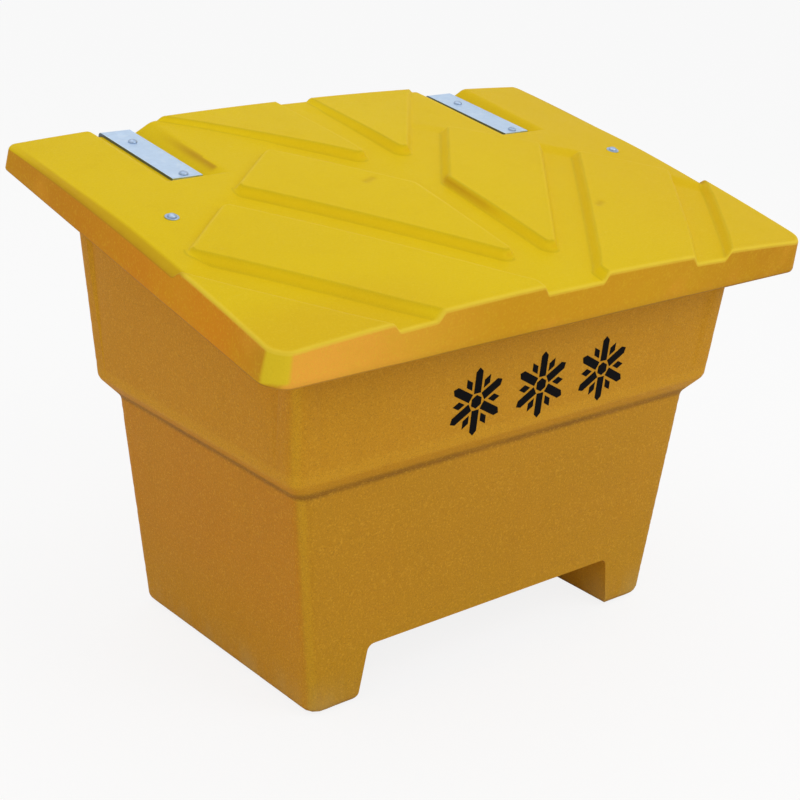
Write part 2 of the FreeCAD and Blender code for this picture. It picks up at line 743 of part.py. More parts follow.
def bolts(name, spots, under_head, length):
    """Round-headed bolts with their heads up."""
    return stack(name, spots, [("disc", "bolt_radius", f"{under_head} - ({length})", length),
                               ("head", "bolt_head_radius", under_head, "bolt_head_height")])


def nuts(name, spots, bottom):
    outside = stack(f"{name}_hexagons", spots, [("hexagon", "nut_radius", bottom, "nut_height")])
    holes = stack(f"{name}_threads", spots, [("disc", "bolt_radius", bottom, "nut_height")])
    return cut(name, outside, holes)


def make_backing():
    """A flat plate inside the tub that spreads the load of one leaf's bolts."""
    plate = block("backing_block", world_frame,
                  ("hinge_centre - hinge_width / 2", "-backing_height / 2",
                   "-tub_wall - backing_gap - backing_thickness"),
                  ("hinge_width", "backing_height", "backing_thickness"))
    return drilled("backing_drilled", plate, [spot for spot in LEAF_SPOTS if not spot[0].startswith("-")],
                   None, "-tub_wall * 4", "tub_wall * 4")


def make_buffers():
    """Rubber rests between the lid and the flange, hollow below for the washer and the nut."""
    top = f"({REST_TOP} - lid_wall - rest_face)"
    bottom = "(flange_top + buffer_gap)"
    blocks = stack("buffer_blocks", REST_SPOTS, [("disc", "buffer_radius", bottom, "dome_height")])
    outside = common("buffer_fitted", blocks, dome("buffer_bed_dome", "(panel_step + lid_wall + buffer_bed)"))
    hollow = stack("buffer_hollows", REST_SPOTS,
                   [("disc", "washer_radius + 1", f"{bottom} - 1", f"{top} - {bottom} - buffer_web + 1")])
    return drilled("buffer_drilled", cut("buffer_cups", outside, hollow), REST_SPOTS, None, "0",
                   "dome_height")


keep("tub", drilled("tub_drilled", make_tub(), LEAF_SPOTS, wall_frame, "-tub_wall * 3", "tub_wall * 6"))
keep("lid", make_lid(), lid_frame)
pair("hinge_strap", make_strap(), lid_frame)
pair("hinge_leaf", make_leaf())
pair("hinge_pin", make_pin())

under_lid = "-lid_wall - washer_thickness"
keep("strap_bolts", bolts("strap_bolt_set", STRAP_SPOTS, "strap_thickness",
                          "strap_thickness + lid_wall + washer_thickness + nut_height + bolt_end"),
     strap_frame)
keep("strap_washers", rings("strap_washer_set", STRAP_SPOTS, [under_lid]), strap_frame)
keep("strap_nuts", nuts("strap_nut_set", STRAP_SPOTS, f"{under_lid} - nut_height"), strap_frame)

inside_wall = "-tub_wall - backing_gap - backing_thickness - washer_thickness"
keep("leaf_bolts", bolts("leaf_bolt_set", LEAF_SPOTS, "leaf_thickness",
                         f"leaf_thickness - ({inside_wall}) + nut_height + bolt_end"), wall_frame)
pair("backing_plate", make_backing(), wall_frame)
keep("leaf_washers", rings("leaf_washer_set", LEAF_SPOTS, [inside_wall]), wall_frame)
keep("leaf_nuts", nuts("leaf_nut_set", LEAF_SPOTS, f"{inside_wall} - nut_height"), wall_frame)

rest_head = f"{REST_TOP} - rest_face + washer_thickness"
in_buffer = f"{REST_TOP} - lid_wall - rest_face - buffer_web - washer_thickness"
keep("rest_screws", bolts("rest_screw_set", REST_SPOTS, rest_head,
                          "lid_wall + buffer_web + 2 * washer_thickness + nut_height + bolt_end"),
     lid_frame)
keep("rest_washers", rings("rest_washer_set", REST_SPOTS, [f"{REST_TOP} - rest_face", in_buffer]),
     lid_frame)
keep("rest_buffers", make_buffers(), lid_frame)
keep("rest_nuts", nuts("rest_nut_set", REST_SPOTS, f"{in_buffer} - nut_height"), lid_frame)

doc.recompute()
for thing in doc.Objects:
    if "Invalid" in thing.State or "Error" in thing.State:
        raise SystemExit(f"{thing.Name} failed: {thing.getStatusString()}")
for thing in sub_parts:
    if thing.Shape.isNull() or not thing.Shape.isValid():
        raise SystemExit(f"{thing.Label} has no valid shape")

os.makedirs("parts", exist_ok=True)
for thing in sub_parts:
    print(thing.Label, len(thing.Shape.Solids), "solids", round(thing.Shape.Volume / 1000), "cm3")
    thing.Shape.exportStep(f"parts/{thing.Label}.step")
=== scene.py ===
import bpy
import math
import numpy as np
from mathutils import Matrix, Vector


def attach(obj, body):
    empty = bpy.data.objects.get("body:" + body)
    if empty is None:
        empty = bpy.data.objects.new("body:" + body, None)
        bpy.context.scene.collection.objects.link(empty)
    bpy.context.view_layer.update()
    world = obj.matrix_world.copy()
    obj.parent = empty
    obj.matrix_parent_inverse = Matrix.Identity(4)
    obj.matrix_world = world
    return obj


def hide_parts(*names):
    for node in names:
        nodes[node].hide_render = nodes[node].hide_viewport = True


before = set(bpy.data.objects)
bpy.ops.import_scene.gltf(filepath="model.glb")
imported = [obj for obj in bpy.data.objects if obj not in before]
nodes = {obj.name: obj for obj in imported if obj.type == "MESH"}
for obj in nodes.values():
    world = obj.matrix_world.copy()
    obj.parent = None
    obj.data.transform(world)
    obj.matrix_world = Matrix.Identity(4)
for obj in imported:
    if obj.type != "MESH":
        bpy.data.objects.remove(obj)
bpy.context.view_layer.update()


# a socket that takes part in Python sums
class Sum:
    def __init__(self, tree, socket):
        self.tree = tree
        self.socket = socket

    def math(self, operation, *others):
        return self.tree.node("ShaderNodeMath", {"operation": operation}, [self, *others])

    def __add__(self, other):
        return self.math("ADD", other)

    def __sub__(self, other):
        return self.math("SUBTRACT", other)

    def __rsub__(self, other):
        return self.tree.node("ShaderNodeMath", {"operation": "SUBTRACT"}, [other, self])

    def __mul__(self, other):
        return self.math("MULTIPLY", other)

    __radd__ = __add__
    __rmul__ = __mul__

    def step(self, low, high):  # 0 below low, 1 above high, soft between
        return self.tree.node("ShaderNodeMapRange", {"interpolation_type": "SMOOTHSTEP"},
                              {"Value": self, "From Min": low, "From Max": high})

    def between(self, start, full, drop, end):  # rises from start to full, falls from drop to end
        return self.step(start, full) * (1 - self.step(drop, end))


# makes and joins the nodes of one tree
class Tree:
    def __init__(self, nodeTree):
        self.nodeTree = nodeTree

    # its settings first, then the values or links of its sockets
    def node(self, kind, settings=None, sockets=None, output=0):
        made = self.nodeTree.nodes.new(kind)
        for key, setting in (settings or {}).items():
            setattr(made, key, setting)
        pairs = sockets.items() if isinstance(sockets, dict) else enumerate(sockets or [])
        for key, value in pairs:
            self.join(made.inputs[key], value)
        return Sum(self, made.outputs[output])

    def join(self, socket, value):
        if isinstance(value, Sum):
            self.nodeTree.links.new(value.socket, socket)
        else:
            socket.default_value = value


class Shader(Tree):
    def __init__(self, name, roughness, metallic=0.0, specular=0.5):
        self.material = bpy.data.materials.new(name)
        self.material.use_nodes = True
        super().__init__(self.material.node_tree)
        self.surface = self.nodeTree.nodes["Principled BSDF"]
        self.set("Roughness", roughness)
        self.set("Metallic", metallic)
        self.set("Specular IOR Level", specular)
        self.place = self.node("ShaderNodeTexCoord", output="Object")

    def set(self, name, value):
        self.join(self.surface.inputs[name], value)

    def noise(self, scale, detail, roughness, place=None):
        return self.node("ShaderNodeTexNoise", None, {"Vector": place or self.place, "Scale": scale,
                                                      "Detail": detail, "Roughness": roughness})

    def stretched(self, scale, turn=(0, 0, 0)):
        return self.node("ShaderNodeMapping", None, {"Vector": self.place, "Scale": scale, "Rotation": turn})

    def mix(self, factor, first, second):
        return self.node("ShaderNodeMix", {"data_type": "RGBA"},
                         {0: factor, 6: self.colour(first), 7: self.colour(second)}, output=2)

    def layered(self, base, finish, layers):  # a layer is where it shows and the name of its colour and share
        for where, name in layers:
            colour, share = finish[name]
            base = self.mix(where * share, base, colour)
        return base

    def colour(self, value):
        return value if isinstance(value, Sum) else (*value, 1)

    def part(self, name, axis):  # one number of a coordinate or normal
        source = self.node("ShaderNodeTexCoord", output=name)
        return self.node("ShaderNodeSeparateXYZ", None, [source], output=axis)

    def attribute(self, name):
        return self.node("ShaderNodeAttribute", {"attribute_name": name}, output="Fac")

    def setBump(self, height, finish):
        self.set("Normal", self.node("ShaderNodeBump", None, {
            "Height": height, "Distance": finish["bump"], "Strength": finish["bumpStrength"]}))


# camera

camera = {"place": (-1.9182, -2.2156, 1.5412), "yaw": -40.66, "pitch": -21.191, "roll": 3.0385,
          "lens": 76.334, "sensor": 36, "clipEnd": 60}


def makeCamera():
    yaw, pitch, roll = (math.radians(camera[name]) for name in ("yaw", "pitch", "roll"))
    flat = math.cos(pitch)
    forward = Vector((-math.sin(yaw) * flat, math.cos(yaw) * flat, math.sin(pitch)))
    level = Vector((math.cos(yaw), math.sin(yaw), 0))
    upright = level.cross(forward)
    right = level * math.cos(roll) + upright * math.sin(roll)
    up = upright * math.cos(roll) - level * math.sin(roll)
    data = bpy.data.cameras.new("camera")
    data.lens = camera["lens"]
    data.sensor_width = camera["sensor"]
    data.clip_end = camera["clipEnd"]
    thing = bpy.data.objects.new("camera", data)
    turn = Matrix((right, up, -forward)).transposed().to_4x4()
    thing.matrix_world = Matrix.Translation(camera["place"]) @ turn
    bpy.context.scene.collection.objects.link(thing)
    bpy.context.scene.camera = thing


makeCamera()
print("camera made")


# finishes: a base colour stands alone, a layer is its colour and its greatest share; grain is scale, detail
# and roughness of a noise, a range the part of it that shows, and facing the same for a normal

# the tub's plastic; zones are heights in metres

tubFinish = {
    "roughness": 0.45, "pebbleRoughness": 0.22, "streakRoughness": 0.08, "specular": 0.15,
    "bump": 0.0009, "bumpStrength": 0.7, "peelHeight": 0.4,
    # left and front are one plastic in painted shade and painted light: the sides darker, the front faces
    # lighter
    "left": (0.605, 0.236, 0.009),
    "front": ((0.565, 0.268, 0.010), 1), "band": ((0.66, 0.305, 0.010), 1),
    # the corner colour is a painted highlight down the front's vertical corners
    "corner": ((0.72, 0.39, 0.014), 0.45), "foot": ((0.60, 0.35, 0.014), 0.35),
    # under is painted shade; the band's edge colour is a painted highlight
    "under": ((0.23, 0.095, 0.008), 1), "bandEdgeHighlight": ((0.80, 0.42, 0.02), 0.3),
    "cloud": ((0.64, 0.285, 0.012), 0.3), "blot": ((0.50, 0.20, 0.012), 0.2),
    "speck": ((0.32, 0.135, 0.010), 0.5), "pebble": ((0.78, 0.41, 0.025), 0.5),
    "streak": ((0.42, 0.19, 0.012), 0.15), "dust": ((0.55, 0.44, 0.18), 0.3),
    "bandShare": 0.5, "bandFrontShare": 0.35, "ledgeShadeShare": 0.75, "legShadeShare": 0.5,
    "footZone": (0.02, 0.26), "legShadeZone": (0.2, 0.3), "dustZone": (0.0, 0.09), "bandZone": (0.42, 0.46),
    "ledgeShadeZone": (0.415, 0.424, 0.429, 0.442), "bandEdgeHighlightZone": (0.452, 0.462, 0.472, 0.484),
    "litFrontFacing": (0.15, 0.65), "underShadeFacing": (0.3, 0.8), "cornerHighlightFacing": (0.25, 0.5),
    "pebbleGrain": (260, 3, 0.6), "peelGrain": (1400, 2, 0.5), "cloudGrain": (5, 4, 0.6),
    "speckGrain": (620, 2, 0.7), "blotGrain": (38, 5, 0.7), "streakGrain": (14, 3, 0.6), "streakLength": 0.22,
    "pebbleRange": (0.3, 0.5), "cloudRange": (0.35, 0.75), "speckRange": (0.48, 0.66),
    "blotRange": (0.5, 0.75), "streakRange": (0.55, 0.8), "dustRange": (0.3, 0.7)}


def tubPlastic():
    finish = tubFinish
    shader = Shader("tubPlastic", finish["roughness"], specular=finish["specular"])
    grains = ("pebble", "peel", "cloud", "speck", "blot")
    pebble, peel, cloud, speck, blot = (shader.noise(*finish[name + "Grain"]) for name in grains)
    streaks = shader.noise(*finish["streakGrain"], place=shader.stretched((1, 1, finish["streakLength"])))
    height = shader.part("Object", 2)
    faceX, faceY, faceZ = (shader.part("Normal", axis) for axis in range(3))
    front = (faceY * -1).step(*finish["litFrontFacing"])
    shadedUnder = (faceZ * -1).step(*finish["underShadeFacing"])
    bandShare = finish["bandShare"] + front * finish["bandFrontShare"]
    base = shader.layered(finish["left"], finish, [
        # painted light: the faces that look to the front take a lighter colour than the sides
        (front, "front"),
        (height.step(*finish["bandZone"]) * bandShare, "band"),
        # painted highlight down the vertical corners
        ((faceX * faceY).step(*finish["cornerHighlightFacing"]) * front, "corner"),
        (1 - height.step(*finish["footZone"]), "foot"),
        # painted shade: a dark line in the crease under the band's ledge
        (height.between(*finish["ledgeShadeZone"]) * finish["ledgeShadeShare"], "under"),
        # painted highlight along the band's rounded lower edge
        (height.between(*finish["bandEdgeHighlightZone"]), "bandEdgeHighlight"),
        # painted shade on the downward faces low on the tub
        (shadedUnder * (1 - height.step(*finish["legShadeZone"])) * finish["legShadeShare"], "under"),
        (cloud.step(*finish["cloudRange"]), "cloud"),
        (blot.step(*finish["blotRange"]), "blot"),
        (speck.step(*finish["speckRange"]), "speck"),
        (1 - pebble.step(*finish["pebbleRange"]), "pebble"),
        (streaks.step(*finish["streakRange"]), "streak"),
        ((1 - height.step(*finish["dustZone"])) * streaks.step(*finish["dustRange"]), "dust")])
    shader.set("Base Color", base)
    shader.set("Roughness", finish["roughness"] + pebble * finish["pebbleRoughness"]
               + streaks * finish["streakRoughness"])
    shader.setBump(peel * finish["peelHeight"] + pebble, finish)
    return shader.material


# the lid's plastic; zones are metres along the lid or across it; mottle is the least that shows of a line and
# how much more in the patches; the shade and brown lines are painted shade, the gleam lines painted highlight

lidFinish = {
    "roughness": 0.40, "pebbleRoughness": 0.2, "patchRoughness": 0.12, "specular": 0.07,
    "bump": 0.0008, "bumpStrength": 0.6, "peelHeight": 0.35,
    # the top colour is painted light and the skirt colours painted shade, the left side darker still
    "top": (0.80, 0.565, 0.004), "frontLeft": (0.98, 0.45, 0.050), "leftSide": (0.73, 0.25, 0.007),
    "right": ((0.765, 0.505, 0.004), 1), "frontPanel": ((0.74, 0.47, 0.008), 0.7),
    "frontMiddle": ((0.69, 0.33, 0.009), 1), "frontRight": ((0.59, 0.25, 0.006), 1),
    "leftBack": ((0.61, 0.235, 0.007), 1), "leftFront": ((0.56, 0.29, 0.012), 0.8),
    # the corner colour is a painted highlight
    "blush": ((0.85, 0.36, 0.03), 0.3), "corner": ((0.84, 0.61, 0.02), 0.95),
    "cloud": ((0.73, 0.50, 0.012), 0.25), "patch": ((0.68, 0.43, 0.011), 0.16),
    "speck": ((0.55, 0.36, 0.010), 0.2), "pebble": ((0.88, 0.66, 0.03), 0.2),
    # the wall colour is painted light; brown is painted shade and also colours the dents; shade is painted
    # shade, gleam a painted highlight, under painted shade
    "wall": ((0.98, 0.74, 0.010), 0.3), "brown": ((0.52, 0.26, 0.010), 1), "shade": ((0.52, 0.37, 0.006), 1),
    "gleam": ((0.90, 0.66, 0.055), 1), "scuff": ((0.84, 0.70, 0.16), 0.25),
    "under": ((0.23, 0.095, 0.008), 0.45),
    "brownMottle": (0.6, 0.4), "shadeMottle": (0.32, 0.3), "gleamMottle": (0.45, 0.5),
    "rightZone": (0.0, 0.6), "panelAlong": (-0.45, -0.15), "panelAcross": (-0.36, -0.24),
    "frontMiddleZone": (-0.55, -0.12), "frontRightZone": (0.1, 0.55), "leftBackZone": (-0.3, 0.3),
    "leftFrontZone": (-0.42, -0.24),
    "litTopFacing": (0.14, 0.5), "shadedLeftFacing": (0.35, 0.8), "cornerHighlightFacing": (0.12, 0.36),
    "cornerHighlightUpFacing": (-0.25, -0.1), "scuffFacing": (0.6, 0.9), "underShadeFacing": (0.1, 0.6),
    "pebbleGrain": (260, 3, 0.6), "peelGrain": (1400, 2, 0.5), "cloudGrain": (4, 4, 0.6),
    "patchGrain": (19, 4, 0.65), "speckGrain": (560, 2, 0.7), "blushGrain": (7, 3, 0.6),
    "scuffGrain": (60, 3, 0.6), "scuffStretch": (0.35, 4.0, 4.0), "scuffTurn": (0, 0, 0.7),
    "pebbleRange": (0.3, 0.5), "cloudRange": (0.35, 0.75), "patchRange": (0.5, 0.8),
    "speckRange": (0.5, 0.7), "blushRange": (0.55, 0.7), "scuffRange": (0.68, 0.78)}


def lidPlastic():
    finish = lidFinish
    shader = Shader("lidPlastic", finish["roughness"], specular=finish["specular"])
    grains = ("pebble", "peel", "cloud", "patch", "speck", "blush")
    pebble, peel, cloud, patches, speck, blush = (shader.noise(*finish[name + "Grain"]) for name in grains)
    scuffPlace = shader.stretched(finish["scuffStretch"], finish["scuffTurn"])
    scuffs = shader.noise(*finish["scuffGrain"], place=scuffPlace)
    faceX, faceY, up = (shader.part("Normal", axis) for axis in range(3))
    along, across = shader.part("Object", 0), shader.part("Object", 1)
    nearCorner = (1 - along.step(*finish["panelAlong"])) * (1 - across.step(*finish["panelAcross"]))
    top = shader.layered(finish["top"], finish, [
        (along.step(*finish["rightZone"]), "right"),
        (nearCorner, "frontPanel")])
    front = shader.layered(finish["frontLeft"], finish, [
        (along.step(*finish["frontMiddleZone"]), "frontMiddle"),
        (along.step(*finish["frontRightZone"]), "frontRight")])
    left = shader.layered(finish["leftSide"], finish, [
        (across.step(*finish["leftBackZone"]), "leftBack"),
        (1 - across.step(*finish["leftFrontZone"]), "leftFront")])
    # painted highlight down the vertical corners of the skirt
    cornerHighlight = (faceX * faceY).step(*finish["cornerHighlightFacing"]) * up.step(*finish["cornerHighlightUpFacing"])
    # painted shade: the skirt faces that look left take a darker, more orange colour than the front
    skirt = shader.layered(shader.mix((faceX * -1).step(*finish["shadedLeftFacing"]), front, left), finish, [
        (blush.step(*finish["blushRange"]), "blush"),
        (cornerHighlight, "corner")])
    lines = []
    # painted shade and painted highlight along the panels' walls and edges, patchy
    for name in ("brown", "shade", "gleam"):
        least, more = finish[name + "Mottle"]
        lines.append((shader.attribute(name) * (least + patches * more), name))
    # painted light: the upward faces take the yellow top colour, the rest the orange skirt colours of a
    # shaded side
    base = shader.layered(shader.mix(up.step(*finish["litTopFacing"]), skirt, top), finish, [
        (cloud.step(*finish["cloudRange"]), "cloud"),
        (patches.step(*finish["patchRange"]), "patch"),
        (speck.step(*finish["speckRange"]), "speck"),
        (1 - pebble.step(*finish["pebbleRange"]), "pebble"),
        # painted light: walls that face the front left lightened to take out their shade
        (shader.attribute("wall"), "wall"),
        *lines,
        (scuffs.step(*finish["scuffRange"]) * up.step(*finish["scuffFacing"]), "scuff"),
        # painted shade on the faces that look down
        ((up * -1).step(*finish["underShadeFacing"]), "under")])
    shader.set("Base Color", base)
    shader.set("Roughness", finish["roughness"] + pebble * finish["pebbleRoughness"]
               + patches * finish["patchRoughness"])
    shader.setBump(peel * finish["peelHeight"] + pebble, finish)
    return shader.material


# the metals, the rubber and the paint

steel = {"dark": (0.44, 0.57, 0.74), "pale": ((0.56, 0.69, 0.85), 0.5), "stain": ((0.74, 0.80, 0.86), 0.35),
         "edge": ((0.06, 0.075, 0.075), 0.8), "shadedEdgeFacing": (0.5, 0.9), "crystals": 170,
         "stainGrain": (45, 4, 0.65), "stainRange": (0.5, 0.75), "fineGrain": (500, 2, 0.6),
         "roughness": 0.34, "toneRoughness": 0.12, "stainRoughness": 0.18, "metallic": 0.85,
         "bump": 0.0003, "bumpStrength": 0.35}
zinc = {"pale": (0.36, 0.46, 0.62), "dark": ((0.24, 0.33, 0.46), 1), "stainGrain": (120, 3, 0.6),
        "stainRange": (0.4, 0.75), "fineGrain": (900, 2, 0.5), "roughness": 0.28, "stainRoughness": 0.25,
        "metallic": 0.9, "bump": 0.0002, "bumpStrength": 0.3}
rubber = {"dark": (0.018, 0.018, 0.019), "dust": ((0.07, 0.065, 0.055), 0.5), "dustGrain": (90, 4, 0.6),
          "dustRange": (0.45, 0.8), "fineGrain": (1200, 2, 0.5), "roughness": 0.66, "dustRoughness": 0.25,
          "specular": 0.3, "bump": 0.0002, "bumpStrength": 0.4}
paint = {"dark": (0.003, 0.003, 0.004), "worn": ((0.02, 0.016, 0.008), 0.35), "wearGrain": (240, 4, 0.7),
         "wearRange": (0.55, 0.8), "fineGrain": (900, 2, 0.5), "roughness": 0.6, "wearRoughness": 0.25,
         "specular": 0.06, "bump": 0.0003, "bumpStrength": 0.4}


def galvanisedSteel():
    shader = Shader("galvanisedSteel", steel["roughness"], metallic=steel["metallic"])
    crystals = shader.node("ShaderNodeTexVoronoi", {"feature": "F1"},
                           {"Vector": shader.place, "Scale": steel["crystals"]}, output="Color")
    tone = shader.node("ShaderNodeSeparateColor", None, [crystals])
    stain = shader.noise(*steel["stainGrain"])
    faceX = shader.part("Normal", 0)
    shader.set("Base Color", shader.layered(steel["dark"], steel, [
        (tone, "pale"),
        (stain.step(*steel["stainRange"]), "stain"),
        # painted shade on the faces that look to either side
        ((faceX * faceX).step(*steel["shadedEdgeFacing"]), "edge")]))
    shader.set("Roughness", steel["roughness"] + tone * steel["toneRoughness"]
               + stain * steel["stainRoughness"])
    shader.setBump(shader.noise(*steel["fineGrain"]), steel)
    return shader.material


def zincPlate():
    shader = Shader("zincPlate", zinc["roughness"], metallic=zinc["metallic"])
    stain = shader.noise(*zinc["stainGrain"])
    stained = stain.step(*zinc["stainRange"])
    shader.set("Base Color", shader.layered(zinc["pale"], zinc, [(stained, "dark")]))
    shader.set("Roughness", zinc["roughness"] + stain * zinc["stainRoughness"])
    shader.setBump(shader.noise(*zinc["fineGrain"]), zinc)
    return shader.material


def blackRubber():
    shader = Shader("blackRubber", rubber["roughness"], specular=rubber["specular"])
    dust = shader.noise(*rubber["dustGrain"])
    dusty = dust.step(*rubber["dustRange"])
    shader.set("Base Color", shader.layered(rubber["dark"], rubber, [(dusty, "dust")]))
    shader.set("Roughness", rubber["roughness"] + dust * rubber["dustRoughness"])
    shader.setBump(shader.noise(*rubber["fineGrain"]), rubber)
    return shader.material


def stencilPaint():
    shader = Shader("stencilPaint", paint["roughness"], specular=paint["specular"])
    wear = shader.noise(*paint["wearGrain"])
    worn = wear.step(*paint["wearRange"])
    shader.set("Base Color", shader.layered(paint["dark"], paint, [(worn, "worn")]))
    shader.set("Roughness", paint["roughness"] + wear * paint["wearRoughness"])
    shader.setBump(shader.noise(*paint["fineGrain"]), paint)
    return shader.material


finishes = {"tub": tubPlastic(), "lid": lidPlastic(), "steel": galvanisedSteel(), "zinc": zincPlate(),
            "rubber": blackRubber(), "paint": stencilPaint()}
nodeFinishes = {
    "tub": ["tub"], "lid": ["lid"], "rubber": ["rest_buffers"],
    "steel": ["hinge_strap_left", "hinge_strap_right", "hinge_leaf_left", "hinge_leaf_right",
              "backing_plate_left", "backing_plate_right"],
    "zinc": ["hinge_pin_left", "hinge_pin_right", "strap_bolts", "strap_washers", "strap_nuts",
             "leaf_bolts", "leaf_washers", "leaf_nuts", "rest_screws", "rest_washers", "rest_nuts"]}
for finishName, members in nodeFinishes.items():
    for member in members:
        memberMesh = nodes[member].data
        memberMesh.materials.clear()
        memberMesh.materials.append(finishes[finishName])
print("finishes made")


# lid skin, in the lid's own frame: u along its length, v up its slope and w square to its rim, in metres

lid = {"halfLength": 0.6, "halfDepth": 0.407, "corner": 0.039, "backCorner": 0.014,
       "middle": (0.0, -0.0012, 0.75), "tilt": 11.2, "wall": 0.005, "dome": 0.088, "sideDrop": 0.020,
       "step": 0.015, "spacing": 0.0028, "edgeDegrees": 18, "leanReach": 0.06, "lip": 0.0012}
outerFace = {"frontDrop": 0.009, "backDrop": 0.0126, "cornerDrop": 0.002, "edge": 0.0045, "lean": 5.4,
             "levels": (0.965, 0.75, 0.5, 0.25, 0.06, 0.0)}
innerFace = {"frontDrop": 0.018, "backDrop": 0.018, "cornerDrop": 0.0, "edge": 0.004, "lean": 4.0,
             "levels": (0.6, 0.3, 0.04, 0.0)}
panel = {"corner": 0.015, "slopeHalf": 0.0068, "backStep": 0.0095, "backStepZone": (0.13, 0.38),
         "upperLine": 0.0062, "lowerLine": 0.0068, "lineWidth": 0.0024, "wallWidth": 0.0048,
         "gleamPlace": 0.004, "gleamWidth": 0.004, "gleam": 0.6, "lowerShade": 0.9, "probe": 0.0004,
         "aheadShare": 0.9, "darkGain": 3, "brightGain": 1.5, "awayGain": 2, "awayFade": 0.12}
middleWall = {"width": 0.012, "steepZone": (-0.27, -0.03), "steeper": 0.45, "brown": 0.75,
              "brownZone": (-0.2, -0.1)}
channels = {"angle": 50.5, "first": 0.0045, "pitch": 0.255, "width": 0.067, "centre": 0.072, "notch": 0.136,
            "end": 0.280, "pastEnd": 0.5, "pastSide": 0.75}
side = {"start": 0.262, "end": 0.298, "lift": 0.0077, "backLift": 0.002, "liftZone": (0.0, 0.25),
        "bevel": 0.016, "cornerReach": 0.03, "cornerLines": (0.42, 0.5), "brownFront": (-0.165, -0.14),
        "brownBack": (0.42, 0.25), "brown": 0.5, "edgeBrown": 0.4, "brownStart": 0.6}
rim = {"place": 0.0018, "width": 0.0034, "gleamZone": (0.13, 0.16)}
seat = {"inner": 0.343, "outer": 0.418, "front": 0.167, "backHeight": 0.037, "tilt": 3.8, "rise": 0.014,
        "innerSlope": 0.021, "wallWidth": 0.027, "outerSlope": 0.020, "frontSlope": 0.020, "round": 0.005,
        "streakPlace": 0.72, "streakWidth": 0.26, "streakBack": (0.37, 0.22), "streakFade": 0.012}
dents = {"ends": [((-0.126, 0.010), (-0.104, 0.018)), ((0.250, -0.190), (0.264, -0.182))], "width": 0.0065,
         "depth": 0.0008, "brown": 0.45}
markNames = ("shade", "gleam", "wall", "brown")
tiny = 1e-9


def bell(x, width):
    return np.exp(-(x / width) ** 2)


def smooth(x, low, high):
    share = np.clip((x - low) / (high - low), 0, 1)
    return share * share * (3 - 2 * share)


def softMin(a, b, reach):
    blend = np.clip(0.5 + 0.5 * (b - a) / reach, 0, 1)
    return b + (a - b) * blend - reach * blend * (1 - blend)


# the raised panels of one half, from the back to the front corner, between slanting channels
def panelOutlines():
    angle = math.radians(channels["angle"])
    sine, cosine = math.sin(angle), math.cos(angle)
    half = channels["width"] / 2
    middle, notch, end = channels["centre"] / 2, channels["notch"] / 2, channels["end"]
    far, outside = channels["pastEnd"], channels["pastSide"]
    walls = []
    for number in range(3):
        channel = channels["first"] + number * channels["pitch"]
        walls += [channel - half, channel + half]

    def onEnd(line):
        return (line * sine + end * cosine, end * sine - line * cosine)

    def atSide(line, across):
        return (across, (across * sine - line) / cosine)

    def atDepth(line, depth):
        return ((line + depth * cosine) / sine, depth)

    before, after, third, fourth, fifth, last = walls
    return [
        [atSide(before, middle), (middle, far), atDepth(before, far)],
        [atSide(after, middle), atSide(third, middle), onEnd(third), onEnd(after)],
        [onEnd(fourth), atSide(fourth, notch), (notch, -far), atDepth(fifth, -far), onEnd(fifth)],
        [atSide(last, outside), atDepth(last, -far), (outside, -far)],
    ]


def fromSegment(u, v, start, end):
    (u0, v0), (u1, v1) = start, end
    along = np.clip(((u - u0) * (u1 - u0) + (v - v0) * (v1 - v0)) / ((u1 - u0) ** 2 + (v1 - v0) ** 2), 0, 1)
    return np.hypot(u - u0 - along * (u1 - u0), v - v0 - along * (v1 - v0))


# how far each point lies inside an outline with round corners, below 0 outside it
def insideOutline(u, v, outline, corner):
    count = len(outline)
    turning = sum(outline[k][0] * outline[(k + 1) % count][1] - outline[(k + 1) % count][0] * outline[k][1]
                  for k in range(count))
    shape = outline if turning > 0 else outline[::-1]
    sides = []
    for k in range(count):
        (x0, y0), (x1, y1) = shape[k], shape[(k + 1) % count]
        span = math.hypot(x1 - x0, y1 - y0)
        inward = np.array((-(y1 - y0) / span, (x1 - x0) / span))
        sides.append((inward, inward @ (x0, y0)))
    shrunk = []
    for k in range(count):  # the corners of the outline drawn in by the corner radius
        (first, firstLine), (second, secondLine) = sides[k - 1], sides[k]
        shrunk.append(np.linalg.solve(np.array([first, second]), (firstLine + corner, secondLine + corner)))
    nearest = np.full(u.shape, np.inf)
    deepest = np.full(u.shape, np.inf)
    for k in range(count):
        nearest = np.minimum(nearest, fromSegment(u, v, shrunk[k], shrunk[(k + 1) % count]))
        inward = sides[k][0]
        deepest = np.minimum(deepest, (u - shrunk[k][0]) * inward[0] + (v - shrunk[k][1]) * inward[1])
    return corner + np.where(deepest > 0, nearest, -nearest)


def channelFloor(u, v, shape):
    endDrop = np.where(v > 0, shape["backDrop"], shape["frontDrop"])
    alongShare, front = u / lid["halfLength"], np.clip(-v / lid["halfDepth"], 0, 1)
    face = lid["dome"] - lid["sideDrop"] * alongShare ** 2 - endDrop * (v / lid["halfDepth"]) ** 2
    return face - shape["cornerDrop"] * alongShare ** 4 * front ** 2 - lid["step"]


# the areas beside the panels, a little over the channels, with a browner bevel along the lid's sides
def sideAreas(across, v):
    angle = math.radians(channels["angle"])
    line = across * math.sin(angle) - v * math.cos(angle)
    reach = across * math.cos(angle) + v * math.sin(angle)
    reach = reach + side["cornerReach"] * smooth(line, *side["cornerLines"])
    lift = side["lift"] + (side["backLift"] - side["lift"]) * smooth(v, *side["liftZone"])
    fromEdge = lid["halfLength"] - across
    raised = lift * smooth(reach, side["start"], side["end"]) * smooth(fromEdge, 0.0, side["bevel"])
    # the browner bevel is painted shade on the rounded side edge
    outward = np.clip(1 - fromEdge / side["bevel"], 0, 1)
    brown = side["brown"] + side["edgeBrown"] * outward
    brown = brown * (1 - smooth(fromEdge, side["bevel"] * side["brownStart"], side["bevel"]))
    return raised, brown * smooth(v, *side["brownFront"]) * smooth(v, *side["brownBack"])


